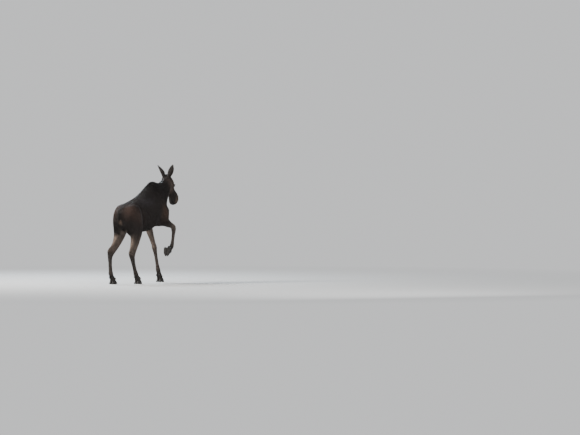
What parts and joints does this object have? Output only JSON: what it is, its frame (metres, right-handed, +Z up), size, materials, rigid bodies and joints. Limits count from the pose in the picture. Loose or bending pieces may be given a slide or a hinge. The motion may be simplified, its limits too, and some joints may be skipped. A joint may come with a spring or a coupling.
{
  "type": "moose",
  "caption": "Life-size young cow moose as a still museum model, striding forward with the right foreleg raised high and the head lowered slightly.",
  "frame": {"origin": "middle of the underside of the bounding box, at the level of the soles of the standing feet", "axes": "+X towards the head, +Y to the animal's left, +Z up"},
  "size_m": [2.157, 0.5022, 2.037],
  "materials": {
    "body_hair": "short dark brown summer coat, longer and blacker on the hump and neck",
    "leg_hair": "very short grey-brown hair",
    "horn": "dark horn",
    "eye": "dark glossy eye"
  },
  "bodies": {
    "root": {"head": "body_hair", "neck": "body_hair", "trunk": "body_hair", "tail": "body_hair", "ear_left": "body_hair", "ear_right": "body_hair", "eye_left": "eye", "eye_right": "eye", "front_left_forearm": "leg_hair", "front_left_cannon": "leg_hair", "front_left_pastern": "leg_hair", "front_right_forearm": "leg_hair", "front_right_cannon": "leg_hair", "front_right_pastern": "leg_hair", "hind_left_thigh": "body_hair", "hind_left_shank": "leg_hair", "hind_left_cannon": "leg_hair", "hind_left_pastern": "leg_hair", "hind_right_thigh": "body_hair", "hind_right_shank": "leg_hair", "hind_right_cannon": "leg_hair", "hind_right_pastern": "leg_hair", "claw_front_left_outer": "horn", "dewclaw_front_left_outer": "horn", "claw_front_left_inner": "horn", "dewclaw_front_left_inner": "horn", "claw_front_right_outer": "horn", "dewclaw_front_right_outer": "horn", "claw_front_right_inner": "horn", "dewclaw_front_right_inner": "horn", "claw_hind_left_outer": "horn", "dewclaw_hind_left_outer": "horn", "claw_hind_left_inner": "horn", "dewclaw_hind_left_inner": "horn", "claw_hind_right_outer": "horn", "dewclaw_hind_right_outer": "horn", "claw_hind_right_inner": "horn", "dewclaw_hind_right_inner": "horn"}
  },
  "joints": []
}
